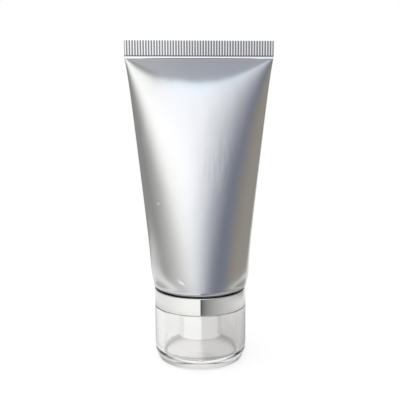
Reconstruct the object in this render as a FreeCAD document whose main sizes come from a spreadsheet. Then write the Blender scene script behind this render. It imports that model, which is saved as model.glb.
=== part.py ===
import FreeCAD, Part
import Sketcher
import math
import os
import re

# A squeeze tube that stands on its screw cap: a laminate sleeve crimped shut at the top, a
# moulded head with a threaded neck, and a cap made of a plated collar, a threaded insert, a
# sealing disc and a clear overcap.  Z points up, the origin is the centre of the cap's base,
# the crimp runs along X and the front faces -Y.  All lengths are in millimetres.

os.makedirs("parts", exist_ok=True)
document = FreeCAD.newDocument("SqueezeTube")

# ---------------------------------------------------------------- driving dimensions

SIZES = [
    ("tube_diameter", 35.6, "sleeve, outside, at its round end"),
    ("sleeve_length", 92.0, "sleeve from its lower edge to the top of the crimp"),
    ("sleeve_wall", 0.5, "thickness of the laminate"),
    ("edge_roll", 0.8, "how far the sleeve's lower edge is rolled in"),
    ("round_height", 2.6, "height of the sleeve's round end, held by the head"),
    ("belly", 0.4, "how far the empty sleeve swells sideways above its round end"),
    ("flare", 0.55, "how far the sleeve's sides flare out below the crimp"),
    ("rib_zone", 5.5, "height of the ribbed part of the crimp"),
    ("rib_pitch", 1.0, "spacing of the crimp's ribs"),
    ("rib_depth", 0.3, "depth of the grooves between the ribs"),
    ("lip_height", 0.75, "height of the smooth lip under the ribs"),
    ("lip_swell", 0.12, "how far the lip stands out from the ribs"),
    ("crimp_spare", 0.1, "thickness of the crimp beyond two walls"),
    ("rim_gap", 0.6, "gap between the sleeve and the closed cap"),
    ("bond_gap", 0.05, "clearance between pieces that are bonded or pressed together"),
    ("shoulder_thickness", 1.8, "thickness of the head's flat shoulder"),
    ("skirt_wall", 1.0, "wall of the head's skirt inside the sleeve"),
    ("neck_length", 10.5, "neck from the shoulder to its tip"),
    ("neck_bore", 8.4, "diameter of the bore in the neck"),
    ("tip_wall", 1.2, "thickness of the neck's end wall"),
    ("orifice", 6.0, "diameter of the hole that the product leaves by"),
    ("thread_diameter", 13.0, "outside diameter of the neck's thread"),
    ("thread_pitch", 3.0, "rise of the thread in one turn"),
    ("thread_depth", 0.8, "height of a thread ridge"),
    ("thread_foot", 1.3, "width of a thread ridge where it meets its wall"),
    ("thread_crest", 0.6, "width of a thread ridge at its crest"),
    ("thread_start", 1.3, "neck's end to the centre of the first ridge"),
    ("neck_turns", 1.75, "turns of the thread on the neck"),
    ("insert_turns", 1.5, "turns of the thread in the insert"),
    ("thread_gap", 0.2, "radial clearance between the two threads"),
    ("thread_play", 0.3, "axial clearance between the flanks of the closed threads"),
    ("cap_inset", 0.3, "how far the cap stands back from the sleeve's round end"),
    ("cap_height", 27.4, "cap from its base to the collar's rim"),
    ("band_height", 6.6, "height of the collar's plated band"),
    ("plate_wall", 1.2, "wall of the collar's band and web"),
    ("band_edge", 0.3, "bevel of the band's outer edges"),
    ("socket_wall", 0.8, "wall of the collar's inner socket"),
    ("socket_edge", 0.4, "bevel of the edge at the socket's closed end"),
    ("insert_wall", 0.7, "wall of the insert behind its thread"),
    ("insert_floor", 1.2, "thickness of the insert's floor"),
    ("insert_skirt", 5.65, "height of the insert's skirt under its floor"),
    ("disc_thickness", 1.0, "thickness of the sealing disc"),
    ("disc_gap", 0.1, "clearance on each side of the disc"),
    ("overcap_wall", 3.2, "wall of the clear overcap"),
    ("overcap_floor", 3.3, "thickness of the overcap's floor"),
    ("floor_corner", 1.6, "bevel of the corner inside the overcap"),
    ("base_round", 3.0, "radius of the overcap's outer base edge"),
    ("spigot_height", 4.6, "overcap's upper rim inside the collar's band"),
    ("gate_diameter", 1.6, "diameter of the moulding gate's mark under the base"),
    ("gate_depth", 0.25, "depth of the gate's mark"),
]

sheet = document.addObject("Spreadsheet::Sheet", "Sizes")
for row, (alias, number, note) in enumerate(SIZES, start=1):
    sheet.set(f"A{row}", alias)
    sheet.set(f"B{row}", str(number))
    sheet.set(f"C{row}", note)
    sheet.setAlias(f"B{row}", alias)
document.recompute()

ALIAS = re.compile(r"\b(" + "|".join(alias for alias, _, _ in SIZES) + r")\b")


def linked(formula):
    """Turn a formula in size names into a FreeCAD expression on the sheet."""
    return ALIAS.sub(r"Sizes.\1", str(formula))


def value(formula):
    """Work out a formula from the sheet's present numbers."""
    return float(sheet.evalExpression(linked(formula)))


# ---------------------------------------------------------------- derived heights and radii

SHOULDER = "(cap_height + rim_gap)"
ROUND_TOP = f"({SHOULDER} + round_height)"
CRIMP_BASE = f"({SHOULDER} + sleeve_length - rib_zone - lip_height)"
TUBE_RADIUS = "(tube_diameter / 2)"
FLAT_HALF = "(pi / 2 * (tube_diameter - sleeve_wall) / 2)"
CRIMP_HALF = "(sleeve_wall + crimp_spare / 2)"
ROLL_END = "(tube_diameter / 2 - edge_roll - bond_gap)"

NECK_TIP = f"({SHOULDER} - neck_length)"
THREAD_ROOT = "(thread_diameter / 2 - thread_depth)"
INSERT_BORE = "(thread_diameter / 2 + thread_gap)"
INSERT_RADIUS = "(thread_diameter / 2 + thread_gap + insert_wall)"
DISC_TOP = f"({NECK_TIP} - disc_gap)"
INSERT_SEAT = f"({DISC_TOP} - disc_thickness - disc_gap)"
INSERT_FOOT = f"({INSERT_SEAT} - insert_floor - insert_skirt)"

CAP_RADIUS = "(tube_diameter / 2 - cap_inset)"
BAND_BOTTOM = "(cap_height - band_height)"
BAND_BORE = f"({CAP_RADIUS} - plate_wall)"
SOCKET_BORE = f"({INSERT_RADIUS} + bond_gap)"
SOCKET_RADIUS = f"({SOCKET_BORE} + socket_wall)"
SOCKET_FLOOR = f"({INSERT_FOOT} - bond_gap)"
SOCKET_END = f"({SOCKET_FLOOR} - socket_wall)"
CUP_RADIUS = f"({CAP_RADIUS} - overcap_wall)"


# ---------------------------------------------------------------- helpers

RING_SIDES = 32
BASE_FACETS = 4
SAME_EDGE = 1e-4


def new_body(label):
    body = document.addObject("PartDesign::Body", label)
    body.Label = label
    body.Placement = FreeCAD.Placement()
    return body


def new_sketch(body, name, role, lift="0"):
    """Sketch on one of the body's own origin planes, lifted along the plane's normal."""
    sketch = body.newObject("Sketcher::SketchObject", name)
    plane = next(item for item in body.Origin.OriginFeatures if item.Role == role)
    sketch.AttachmentSupport = [(plane, "")]
    sketch.MapMode = "FlatFace"
    sketch.setExpression("AttachmentOffset.Base.z", linked(lift))
    return sketch


def bind(sketch, kind, where, formula):
    """Add a dimension to a sketch and tie it to the sheet."""
    index = sketch.addConstraint(Sketcher.Constraint(kind, *where, value(formula)))
    sketch.setExpression(f"Constraints[{index}]", linked(formula))


def outline(sketch, corners):
    """Closed outline of straight lines, with both coordinates of each corner bound."""
    first = sketch.GeometryCount
    points = [FreeCAD.Vector(value(x), value(y), 0) for x, y in corners]
    for start, end in zip(points, points[1:] + points[:1]):
        sketch.addGeometry(Part.LineSegment(start, end), False)
    for index, (x, y) in enumerate(corners):
        line = first + index
        before = first + (index - 1) % len(corners)
        sketch.addConstraint(Sketcher.Constraint("Coincident", before, 2, line, 1))
        bind(sketch, "DistanceX", (-1, 1, line, 1), x)
        bind(sketch, "DistanceY", (-1, 1, line, 1), y)


def circle(sketch, radius):
    index = sketch.addGeometry(Part.Circle(FreeCAD.Vector(), FreeCAD.Vector(0, 0, 1), value(radius)))
    sketch.addConstraint(Sketcher.Constraint("Coincident", index, 3, -1, 1))
    bind(sketch, "Radius", (index,), radius)


def ring(sketch, half_width, half_depth):
    """Many-sided oval about the sketch's origin, wide along its X axis.

    The corners on the two axes are tied to the sheet, and all the others follow them.
    """
    turns = [2 * math.pi * side / RING_SIDES for side in range(RING_SIDES)]
    shares = [(round(math.cos(turn), 9), round(math.sin(turn), 9)) for turn in turns]
    wide, deep = value(half_width), value(half_depth)
    points = [FreeCAD.Vector(across * wide, up * deep, 0) for across, up in shares]
    for start, end in zip(points, points[1:] + points[:1]):
        sketch.addGeometry(Part.LineSegment(start, end), False)
    for side, point in enumerate(points):
        before = (side - 1) % RING_SIDES
        sketch.addConstraint(Sketcher.Constraint("Coincident", before, 2, side, 1))
        across = Sketcher.Constraint("DistanceX", -1, 1, side, 1, point.x)
        up = Sketcher.Constraint("DistanceY", -1, 1, side, 1, point.y)
        sketch.addConstraint([across, up])
    first_across, top_up = 1, 3 * (RING_SIDES // 4) + 2
    sketch.renameConstraint(first_across, "half_width")
    sketch.renameConstraint(top_up, "half_depth")
    sketch.setExpression("Constraints.half_width", linked(half_width))
    sketch.setExpression("Constraints.half_depth", linked(half_depth))
    for side, (across, up) in enumerate(shares):
        if 3 * side + 1 != first_across:
            sketch.setExpression(f"Constraints[{3 * side + 1}]", f".Constraints.half_width * {across}")
        if 3 * side + 2 != top_up:
            sketch.setExpression(f"Constraints[{3 * side + 2}]", f".Constraints.half_depth * {up}")


def quarter_round(wall, floor, radius, steps):
    """Corners of an outline along a rounding, from the floor out and up to the wall."""
    turns = [math.pi / 2 * step / steps for step in range(steps + 1)]
    return [
        (f"{wall} - {radius} * {1 - math.sin(turn):.9f}", f"{floor} + {radius} * {1 - math.cos(turn):.9f}")
        for turn in turns
    ]


def revolve(body, name, corners):
    """Turn an outline in the XZ plane, given as (radius, height), about the Z axis."""
    sketch = new_sketch(body, name + "_outline", "XZ_Plane")
    outline(sketch, corners)
    feature = body.newObject("PartDesign::Revolution", name)
    feature.Profile = sketch
    feature.ReferenceAxis = (sketch, ["V_Axis"])
    feature.Angle = 360
    document.recompute()
    return feature


def bevel_edge(body, name, base, size, edge_radius, height):
    """Bevel the circular edge of the given radius and height."""
    wanted = value(edge_radius), value(height)
    names = []
    for index, edge in enumerate(base.Shape.Edges, start=1):
        if not isinstance(edge.Curve, Part.Circle):
            continue
        found = edge.Curve.Radius, edge.Curve.Center.z
        if math.dist(found, wanted) < SAME_EDGE:
            names.append(f"Edge{index}")
    feature = body.newObject("PartDesign::Chamfer", name)
    feature.Base = (base, names)
    feature.setExpression("Size", linked(size))
    document.recompute()
    return feature


def thread(body, name, wall, crest, middle, turns):
    """Ridge that winds up a wall, right-handed.  The ridge starts inside the wall."""
    sunk = f"({wall} - 0.25 * ({crest} - {wall}))"
    flank = "(thread_foot / 2 + 0.125 * (thread_foot - thread_crest))"
    sketch = new_sketch(body, name + "_ridge", "XZ_Plane")
    outline(sketch, [
        (sunk, f"{middle} - {flank}"),
        (crest, f"{middle} - thread_crest / 2"),
        (crest, f"{middle} + thread_crest / 2"),
        (sunk, f"{middle} + {flank}"),
    ])
    feature = body.newObject("PartDesign::AdditiveHelix", name)
    feature.Profile = sketch
    feature.ReferenceAxis = (sketch, ["V_Axis"])
    feature.Mode = "pitch-turns-angle"
    feature.setExpression("Pitch", linked("thread_pitch"))
    feature.setExpression("Turns", linked(turns))
    document.recompute()
    return feature


# ---------------------------------------------------------------- sleeve

SECTION_STEPS = 8
FLATTENING = math.log(2) / math.log(math.pi / 2)
BELLY_REACH = 0.045
FLARE_POWER = 12
INNER_STOP = 0.4
GROOVE_SHARE = 0.42


def sleeve_section(step):
    """Half-width, half-depth and height of the sleeve's section at one step up its length.

    The steps follow a cosine, so that the sections crowd at both ends, where the form
    changes fastest.  The girth stays the same from the round end to the flat crimp, which
    is what sets the depth for each width.
    """
    rise = (1 - math.cos(math.pi * step / SECTION_STEPS)) / 2
    swell = rise / BELLY_REACH * math.exp(1 - rise / BELLY_REACH)
    half_width = (
        f"({TUBE_RADIUS} + ({FLAT_HALF} - flare - {TUBE_RADIUS}) * {rise:.6f}"
        f" + belly * {swell:.6f} + flare * {rise ** FLARE_POWER:.6f})"
    )
    girth_left = f"(pow({FLAT_HALF}; {FLATTENING:.6f}) - pow({half_width}; {FLATTENING:.6f}))"
    girth_span = f"(pow({FLAT_HALF}; {FLATTENING:.6f}) - pow({TUBE_RADIUS}; {FLATTENING:.6f}))"
    half_depth = (
        f"({CRIMP_HALF} + ({TUBE_RADIUS} - {CRIMP_HALF})"
        f" * pow(abs({girth_left} / {girth_span}); {1 / FLATTENING:.6f}))"
    )
    height = f"({ROUND_TOP} + ({CRIMP_BASE} - {ROUND_TOP}) * {rise:.6f})"
    return half_width, half_depth, height


def sleeve_loft(body, kind, name, inset, steps):
    """Loft from the round end through the given steps, inset from the sleeve's outside."""
    start = new_sketch(body, f"{name}_0", "XY_Plane", ROUND_TOP)
    ring(start, f"({TUBE_RADIUS} - {inset})", f"({TUBE_RADIUS} - {inset})")
    sections = []
    for count, step in enumerate(steps, start=1):
        half_width, half_depth, height = sleeve_section(step)
        sketch = new_sketch(body, f"{name}_{count}", "XY_Plane", height)
        ring(sketch, f"({half_width} - {inset})", f"({half_depth} - {inset})")
        sections.append(sketch)
    document.recompute()
    feature = body.newObject(kind, name)
    feature.Profile = start
    feature.Sections = sections
    feature.Ruled = True
    document.recompute()
    return feature


def crimp_bar(body):
    """Flat bar where the two walls are sealed together."""
    sketch = new_sketch(body, "bar_outline", "XY_Plane", CRIMP_BASE)
    outline(sketch, [
        (f"-{FLAT_HALF}", f"-{CRIMP_HALF}"),
        (FLAT_HALF, f"-{CRIMP_HALF}"),
        (FLAT_HALF, CRIMP_HALF),
        (f"-{FLAT_HALF}", CRIMP_HALF),
    ])
    bar = body.newObject("PartDesign::Pad", "bar")
    bar.Profile = sketch
    bar.setExpression("Length", linked("rib_zone + lip_height"))
    document.recompute()


def crimp_ribs(body):
    """Grooves down both faces of the bar, half a pitch apart from front to back."""
    sketch = new_sketch(body, "groove_outline", "XY_Plane", f"{CRIMP_BASE} + lip_height")
    for side, shift in ((-1, "0"), (1, "rib_pitch / 2")):
        face = f"({side} * {CRIMP_HALF})"
        floor = f"({side} * ({CRIMP_HALF} - rib_depth))"
        middle = f"(rib_pitch / 2 + {shift} - {FLAT_HALF})"
        outline(sketch, [
            (f"{middle} - rib_pitch * {GROOVE_SHARE}", face),
            (f"{middle} + rib_pitch * {GROOVE_SHARE}", face),
            (middle, floor),
        ])
    groove = body.newObject("PartDesign::Pocket", "groove")
    groove.Profile = sketch
    groove.Reversed = True
    groove.Type = "ThroughAll"
    document.recompute()
    row = body.newObject("PartDesign::LinearPattern", "groove_row")
    row.Originals = [groove]
    row.Direction = (sketch, ["H_Axis"])
    row.Mode = "Spacing"
    row.setExpression("Offset", linked("rib_pitch"))
    row.setExpression("Occurrences", linked(f"floor(2 * {FLAT_HALF} / rib_pitch)"))
    body.Tip = row
    document.recompute()


def crimp_lip(body):
    """Smooth bead that the sealing jaws leave under the ribs, on both faces."""
    inner = CRIMP_HALF
    outer = f"({CRIMP_HALF} + lip_swell)"
    low, high = CRIMP_BASE, f"({CRIMP_BASE} + lip_height)"
    sketch = new_sketch(body, "lip_outline", "YZ_Plane")
    outline(sketch, [
        (f"-{inner}", low),
        (inner, low),
        (outer, f"{low} + lip_height / 3"),
        (outer, f"{high} - lip_height / 3"),
        (inner, high),
        (f"-{inner}", high),
        (f"-{outer}", f"{high} - lip_height / 3"),
        (f"-{outer}", f"{low} + lip_height / 3"),
    ])
    lip = body.newObject("PartDesign::Pad", "lip")
    lip.Profile = sketch
    lip.Midplane = True
    lip.setExpression("Length", linked(f"2 * {FLAT_HALF}"))
    document.recompute()


def make_sleeve():
    body = new_body("tube_sleeve")
    crimp_bar(body)
    crimp_ribs(body)
    crimp_lip(body)
    outside = list(range(1, SECTION_STEPS + 1))
    inside = outside[:-1] + [SECTION_STEPS - INNER_STOP]
    sleeve_loft(body, "PartDesign::AdditiveLoft", "outside", "0", outside)
    sleeve_loft(body, "PartDesign::SubtractiveLoft", "inside", "sleeve_wall", inside)
    bore = f"({TUBE_RADIUS} - sleeve_wall)"
    rolled_top = f"({SHOULDER} + sleeve_wall)"
    ring = revolve(body, "round_end", [
        (ROLL_END, SHOULDER),
        (TUBE_RADIUS, SHOULDER),
        (TUBE_RADIUS, ROUND_TOP),
        (bore, ROUND_TOP),
        (bore, rolled_top),
        (ROLL_END, rolled_top),
    ])
    rolled = bevel_edge(body, "rolled_edge", ring, "edge_roll", TUBE_RADIUS, SHOULDER)
    bevel_edge(body, "rolled_inside", rolled, "edge_roll - sleeve_wall", bore, rolled_top)
    return body


# ---------------------------------------------------------------- head

def make_head():
    """Shoulder, skirt and neck in one moulding, with a blunt two-turn thread."""
    body = new_body("tube_head")
    seat = f"({SHOULDER} + sleeve_wall + bond_gap)"
    rim = f"({ROLL_END} - bond_gap)"
    skirt = f"({TUBE_RADIUS} - sleeve_wall - bond_gap)"
    skirt_top = f"({ROUND_TOP} - bond_gap)"
    top = f"({SHOULDER} + shoulder_thickness)"
    solid = revolve(body, "moulding", [
        ("orifice / 2", NECK_TIP),
        (THREAD_ROOT, NECK_TIP),
        (THREAD_ROOT, SHOULDER),
        (rim, SHOULDER),
        (rim, seat),
        (skirt, seat),
        (skirt, skirt_top),
        (f"{skirt} - skirt_wall", skirt_top),
        (f"{skirt} - skirt_wall", top),
        ("neck_bore / 2", top),
        ("neck_bore / 2", f"{NECK_TIP} + tip_wall"),
        ("orifice / 2", f"{NECK_TIP} + tip_wall"),
    ])
    bevel_edge(body, "skirt_corner", solid, "edge_roll - sleeve_wall", skirt, seat)
    middle = f"({NECK_TIP} + thread_start)"
    thread(body, "neck_thread", THREAD_ROOT, "(thread_diameter / 2)", middle, "neck_turns")
    return body


# ---------------------------------------------------------------- cap

def make_disc():
    """Loose sealing disc between the neck's tip and the insert's floor."""
    body = new_body("sealing_disc")
    sketch = new_sketch(body, "disc_outline", "XY_Plane", f"{DISC_TOP} - disc_thickness")
    circle(sketch, f"{INSERT_BORE} - disc_gap")
    disc = body.newObject("PartDesign::Pad", "disc")
    disc.Profile = sketch
    disc.setExpression("Length", linked("disc_thickness"))
    document.recompute()
    return body


def make_insert():
    """Plain inner cap with the thread that screws onto the neck."""
    body = new_body("threaded_insert")
    below = f"({INSERT_SEAT} - insert_floor)"
    revolve(body, "cap_blank", [
        ("0", below),
        (INSERT_BORE, below),
        (INSERT_BORE, INSERT_FOOT),
        (INSERT_RADIUS, INSERT_FOOT),
        (INSERT_RADIUS, "cap_height"),
        (INSERT_BORE, "cap_height"),
        (INSERT_BORE, INSERT_SEAT),
        ("0", INSERT_SEAT),
    ])
    # The ridge follows the neck's first groove, just under the neck's ridge.
    spacing = "((thread_foot + thread_crest) / 2 + thread_play)"
    middle = f"({NECK_TIP} + thread_start + thread_pitch - {spacing})"
    thread(body, "insert_thread", INSERT_BORE, f"({THREAD_ROOT} + thread_gap)", middle,
           "insert_turns")
    return body


def make_collar():
    """Plated collar: the outer band, the web across the rim and the socket, in one piece."""
    body = new_body("plated_collar")
    web = "(cap_height - plate_wall)"
    solid = revolve(body, "stepped_ring", [
        (CAP_RADIUS, BAND_BOTTOM),
        (CAP_RADIUS, "cap_height"),
        (SOCKET_BORE, "cap_height"),
        (SOCKET_BORE, SOCKET_FLOOR),
        ("0", SOCKET_FLOOR),
        ("0", SOCKET_END),
        (SOCKET_RADIUS, SOCKET_END),
        (SOCKET_RADIUS, web),
        (BAND_BORE, web),
        (BAND_BORE, BAND_BOTTOM),
    ])
    upper = bevel_edge(body, "upper_edge", solid, "band_edge", CAP_RADIUS, "cap_height")
    lower = bevel_edge(body, "lower_edge", upper, "band_edge", CAP_RADIUS, BAND_BOTTOM)
    bevel_edge(body, "socket_rim", lower, "socket_edge", SOCKET_RADIUS, SOCKET_END)
    return body


def make_overcap():
    """Thick clear cup whose upper rim plugs into the collar's band."""
    body = new_body("clear_overcap")
    spigot = f"({BAND_BORE} - bond_gap)"
    spigot_top = f"({BAND_BOTTOM} + spigot_height)"
    step = f"({BAND_BOTTOM} - bond_gap)"
    solid = revolve(body, "cup", [
        ("0", "gate_depth"),
        ("gate_diameter / 2", "gate_depth"),
        ("gate_diameter / 2", "0"),
        *quarter_round(CAP_RADIUS, "0", "base_round", BASE_FACETS),
        (CAP_RADIUS, step),
        (spigot, step),
        (spigot, spigot_top),
        (CUP_RADIUS, spigot_top),
        (CUP_RADIUS, "overcap_floor"),
        ("0", "overcap_floor"),
    ])
    bevel_edge(body, "inner_corner", solid, "floor_corner", CUP_RADIUS, "overcap_floor")
    return body


# ---------------------------------------------------------------- build, check and export

MAKERS = [make_sleeve, make_head, make_disc, make_insert, make_collar, make_overcap]
bodies = [maker() for maker in MAKERS]
document.recompute()

for item in document.Objects:
    if "Invalid" in item.State or "Error" in item.State:
        raise RuntimeError(f"{item.Label} did not recompute: {item.State}")

for body in bodies:
    shape = body.Shape
    if shape.isNull() or not shape.isValid() or len(shape.Solids) != 1:
        raise RuntimeError(f"{body.Label} is not one valid solid")
    shape.exportStep(f"parts/{body.Label}.step")
    print(f"{body.Label}: {shape.Volume:.1f} mm3, {len(shape.Faces)} faces")
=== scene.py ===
"""Squeeze tube with a crimped end, a plated collar and a clear screw cap."""
import math

import bmesh
import bpy
from bpy.props import FloatProperty, FloatVectorProperty, IntProperty, PointerProperty
from mathutils import Matrix, Vector


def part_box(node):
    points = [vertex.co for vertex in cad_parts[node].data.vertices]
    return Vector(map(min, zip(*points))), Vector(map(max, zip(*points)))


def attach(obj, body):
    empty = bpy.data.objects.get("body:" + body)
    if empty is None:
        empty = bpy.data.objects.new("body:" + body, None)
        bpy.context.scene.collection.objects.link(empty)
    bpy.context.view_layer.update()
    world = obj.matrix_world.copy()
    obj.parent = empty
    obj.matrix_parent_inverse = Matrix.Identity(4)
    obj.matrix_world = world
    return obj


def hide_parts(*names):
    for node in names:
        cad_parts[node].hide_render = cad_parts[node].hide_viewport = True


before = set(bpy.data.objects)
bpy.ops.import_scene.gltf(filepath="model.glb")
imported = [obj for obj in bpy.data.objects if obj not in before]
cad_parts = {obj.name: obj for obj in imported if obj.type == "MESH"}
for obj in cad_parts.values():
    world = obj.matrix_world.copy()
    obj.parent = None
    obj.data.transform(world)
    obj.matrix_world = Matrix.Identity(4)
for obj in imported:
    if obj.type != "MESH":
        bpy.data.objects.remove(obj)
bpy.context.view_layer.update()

bl_info = {
    "name": "Squeeze tube",
    "version": (1, 0, 0),
    "blender": (4, 5, 0),
    "location": "3D View > Sidebar > Squeeze Tube",
    "description": "Laminate sleeve, ribbed crimp, plated collar and clear overcap",
    "category": "Object",
}

MM = 0.001

sleeve_low, sleeve_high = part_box("tube_sleeve")
collar_low, collar_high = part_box("plated_collar")
_, cup_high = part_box("clear_overcap")


# ---------------------------------------------------------------- sizes and colours

def size(name, default_mm, description):
    """A length that the sidebar shows in the scene's units."""
    return FloatProperty(
        name=name, description=description, default=default_mm * MM, min=0.0,
        unit="LENGTH", precision=5,
    )


def tint(name, default, description):
    """A colour, as linear red, green and blue."""
    return FloatVectorProperty(
        name=name, description=description, default=default, min=0.0, max=1.0,
        size=3, subtype="COLOR",
    )


def share(name, default, description, top=1.0):
    """A plain number from 0 to the top."""
    return FloatProperty(
        name=name, description=description, default=default, min=0.0, max=top,
        subtype="FACTOR" if top == 1.0 else "NONE",
    )


class SleeveSizes(bpy.types.PropertyGroup):
    round_radius: size("Round radius", sleeve_high.y / MM, "Outside radius of the round end")
    wall: size("Wall", 0.5, "Thickness of the laminate")
    seam: size("Seam", 0.1, "Extra height of the open seam over the cap")
    edge_roll: size("Edge roll", 0.8, "Outside radius of the rolled lower edge")
    round_height: size("Round height", 1.3, "Height of the straight round stretch")
    belly: size("Belly", 0.4, "Extra half-width just above the round end")
    flare: size("Flare", 0.55, "Extra half-width drawn out by the flat crimp")
    sides: IntProperty(name="Sides", description="Points round the sleeve", default=192, min=24)
    rows: IntProperty(name="Rows", description="Rows up the outside", default=120, min=16)


class CrimpSizes(bpy.types.PropertyGroup):
    rib_zone: size("Rib zone", 5.5, "Height of the ribbed band")
    rib_pitch: size("Rib pitch", 1.0, "Spacing of the ribs")
    rib_depth: size("Rib depth", 0.3, "Height of a rib above its grooves")
    half_depth: size("Half depth", 0.55, "Half the thickness of the flat crimp over its ribs")
    lip_height: size("Lip height", 0.75, "Smooth bead under the ribs")
    lip_swell: size("Lip swell", 0.12, "How far the bead stands out")


class CapSizes(bpy.types.PropertyGroup):
    band_height: size("Band height", 6.6, "Height of the collar's outer band")
    plate_wall: size("Collar wall", 1.2, "Wall of the band and the web")
    band_edge: size("Band edge", 0.3, "Rounding of the band's outer edges")
    socket_radius: size("Socket radius", 8.25, "Outside radius of the inner socket")
    socket_wall: size("Socket wall", 0.8, "Wall of the inner socket")
    socket_edge: size("Socket edge", 0.5, "Rounding at the socket's closed end")
    cup_wall: size("Overcap wall", 3.2, "Wall of the clear overcap")
    cup_floor: size("Overcap floor", 3.3, "Thickness of the overcap's floor")
    floor_round: size("Floor round", 1.0, "Rounding of the corner inside the overcap")
    base_inset: size("Base inset", 1.6, "How far the overcap's base edge is drawn in")
    base_slope: size("Base slope", 3.6, "Height over which the base edge is drawn in")
    slope_round: size("Slope round", 3.0, "Rounding where the wall starts to draw in")
    base_round: size("Base round", 0.9, "Rounding of the overcap's base edge")
    fine_edge: size("Fine edge", 0.08, "Rounding of the gate's mark and the rim's foot")
    band_foot: size("Band foot", 0.1, "Rounding inside the band's lower edge")
    mouth_edge: size("Mouth edge", 0.15, "Rounding of the socket's mouth and the overcap's step")
    rim_edge: size("Rim edge", 0.2, "Rounding of the overcap's rim")
    inner_corner: size("Inner corner", 0.3, "Rounding in the socket and inside the band")
    web_corner: size("Web corner", 0.4, "Rounding between the socket and the web")
    bond_gap: size("Bond gap", 0.05, "Clearance between bonded pieces")
    gate_radius: size("Gate radius", 0.8, "Radius of the moulding gate's mark")
    gate_depth: size("Gate depth", 0.25, "Depth of the moulding gate's mark")
    sides: IntProperty(name="Sides", description="Points round the cap", default=160, min=24)


class FinishSettings(bpy.types.PropertyGroup):
    laminate: tint("Laminate", (0.81, 0.815, 0.83), "Silver of the sleeve")
    laminate_roughness: share("Laminate roughness", 0.16, "Blur of the sleeve's reflections")
    grain: share("Grain", 0.02, "Height of the sleeve's upright grain, in 0.1 mm", 5.0)
    waves: share("Waves", 2.6, "Height of the sleeve's gentle unevenness, in 0.1 mm", 5.0)
    wrinkles: share("Wrinkles", 0.5, "Height of the wrinkled patch, in 0.1 mm", 5.0)
    dents: share("Dents", 0.9, "Depth of the small dents, in 0.1 mm", 5.0)
    plating: tint("Plating", (0.90, 0.90, 0.90), "Bright plating of the collar")
    moulding: tint("Moulding", (0.86, 0.86, 0.84), "White plastic of the head")
    # Colour of the painted shade on the head's rim inside the seam.
    seam: tint("Seam", (0.012, 0.015, 0.028), "Shaded rim of the head inside the seam")
    natural: tint("Natural plastic", (0.80, 0.80, 0.78), "Plastic of the threaded insert")
    foam: tint("Foam", (0.86, 0.86, 0.84), "Sealing disc")
    acrylic: tint("Acrylic", (0.99, 0.985, 0.98), "Clear overcap")
    rubbed_base: share("Rubbed base", 0.45, "Blur of the overcap's base edge")


class StudioSettings(bpy.types.PropertyGroup):
    camera_distance: size("Camera distance", 225.9, "Camera to the tube's axis")
    camera_height: size("Camera height", 90.6, "Camera above the floor")
    camera_pitch: FloatProperty(
        name="Camera pitch", description="How far the camera looks down",
        default=math.radians(7.48), subtype="ANGLE")
    camera_side: FloatProperty(
        name="Camera side", description="How far the camera stands round to the right",
        default=math.radians(-3.5), subtype="ANGLE")
    camera_roll: FloatProperty(
        name="Camera roll", description="Tilt of the picture",
        default=math.radians(-0.22), subtype="ANGLE")
    lens: FloatProperty(
        name="Lens", description="Focal length on a 36 mm wide sensor", default=53.9)
    floor_radius: size("Floor radius", 90.0, "Radius of the pale floor")
    floor_colour: tint("Floor colour", (0.38, 0.38, 0.38), "Pale floor")
    floor_lift: share("Floor lift", 0.8, "How clearly the camera sees through the floor")
    right_shade: share(
        "Right shade", 0.28, "How much dimmer the right looks through the acrylic")
    lamp_power: FloatProperty(
        name="Lamp power", description="Power of the soft lamp overhead, in watts", default=3.0)


# ---------------------------------------------------------------- node trees

class Field:
    """A value in a node tree.  Arithmetic on it adds Math nodes to the tree."""

    def __init__(self, tree, source):
        self.tree = tree
        self.source = source

    def math(self, operation, *others, clamp=False):
        node = self.tree.nodes.new("ShaderNodeMath")
        node.operation = operation
        node.use_clamp = clamp
        for socket, item in zip(node.inputs, (self, *others)):
            feed(self.tree, item, socket)
        return Field(self.tree, node)

    def __add__(self, other):
        return self.math("ADD", other)

    def __sub__(self, other):
        return self.math("SUBTRACT", other)

    def __rsub__(self, other):
        return (self * -1.0) + other

    def __mul__(self, other):
        return self.math("MULTIPLY", other)

    def __truediv__(self, other):
        return self.math("DIVIDE", other)

    def __pow__(self, other):
        return self.math("POWER", other)

    __radd__ = __add__

    def clamped(self):
        return self.math("ADD", 0.0, clamp=True)

    def ramp(self, start, end, low=0.0, high=1.0):
        """Smooth rise from low to high as the value goes from start to end."""
        node = add(self.tree, "ShaderNodeMapRange", {"interpolation_type": "SMOOTHSTEP"},
                   Value=self, From_Min=start, From_Max=end, To_Min=low, To_Max=high)
        return Field(self.tree, node)


def window(value, low, high):
    """1 between two edges, each given as its place and the softness on either side of it."""
    return value.ramp(low[0] - low[1], low[0] + low[1]) \
        * value.ramp(high[0] + high[1], high[0] - high[1])


def feed(tree, item, socket):
    """Link a field, a socket or a node's first output to a socket, or set the socket's value."""
    if isinstance(item, Field):
        item = item.source
    if isinstance(item, bpy.types.Node):
        item = item.outputs[0]
    if isinstance(item, bpy.types.NodeSocket):
        tree.links.new(item, socket)
    else:
        socket.default_value = item


def add(tree, kind, settings=None, **inputs):
    """New node with its settings and inputs; an underscore in an input's name is a space."""
    node = tree.nodes.new(kind)
    for name, setting in (settings or {}).items():
        setattr(node, name, setting)
    for name, item in inputs.items():
        feed(tree, item, node.inputs[name.replace("_", " ")])
    return node


def vector(tree, **parts):
    return add(tree, "ShaderNodeCombineXYZ", **parts)


def axes(tree, kind="Object"):
    """X, Y and Z of the place on the piece, or of the direction for a world."""
    place_on = tree.nodes.new("ShaderNodeTexCoord").outputs[kind]
    parts = add(tree, "ShaderNodeSeparateXYZ", Vector=place_on)
    return [Field(tree, parts.outputs[axis]) for axis in "XYZ"]


def off_axis(x, y):
    """Distance from the tube's axis."""
    return (x * x + y * y).math("SQRT")


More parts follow.
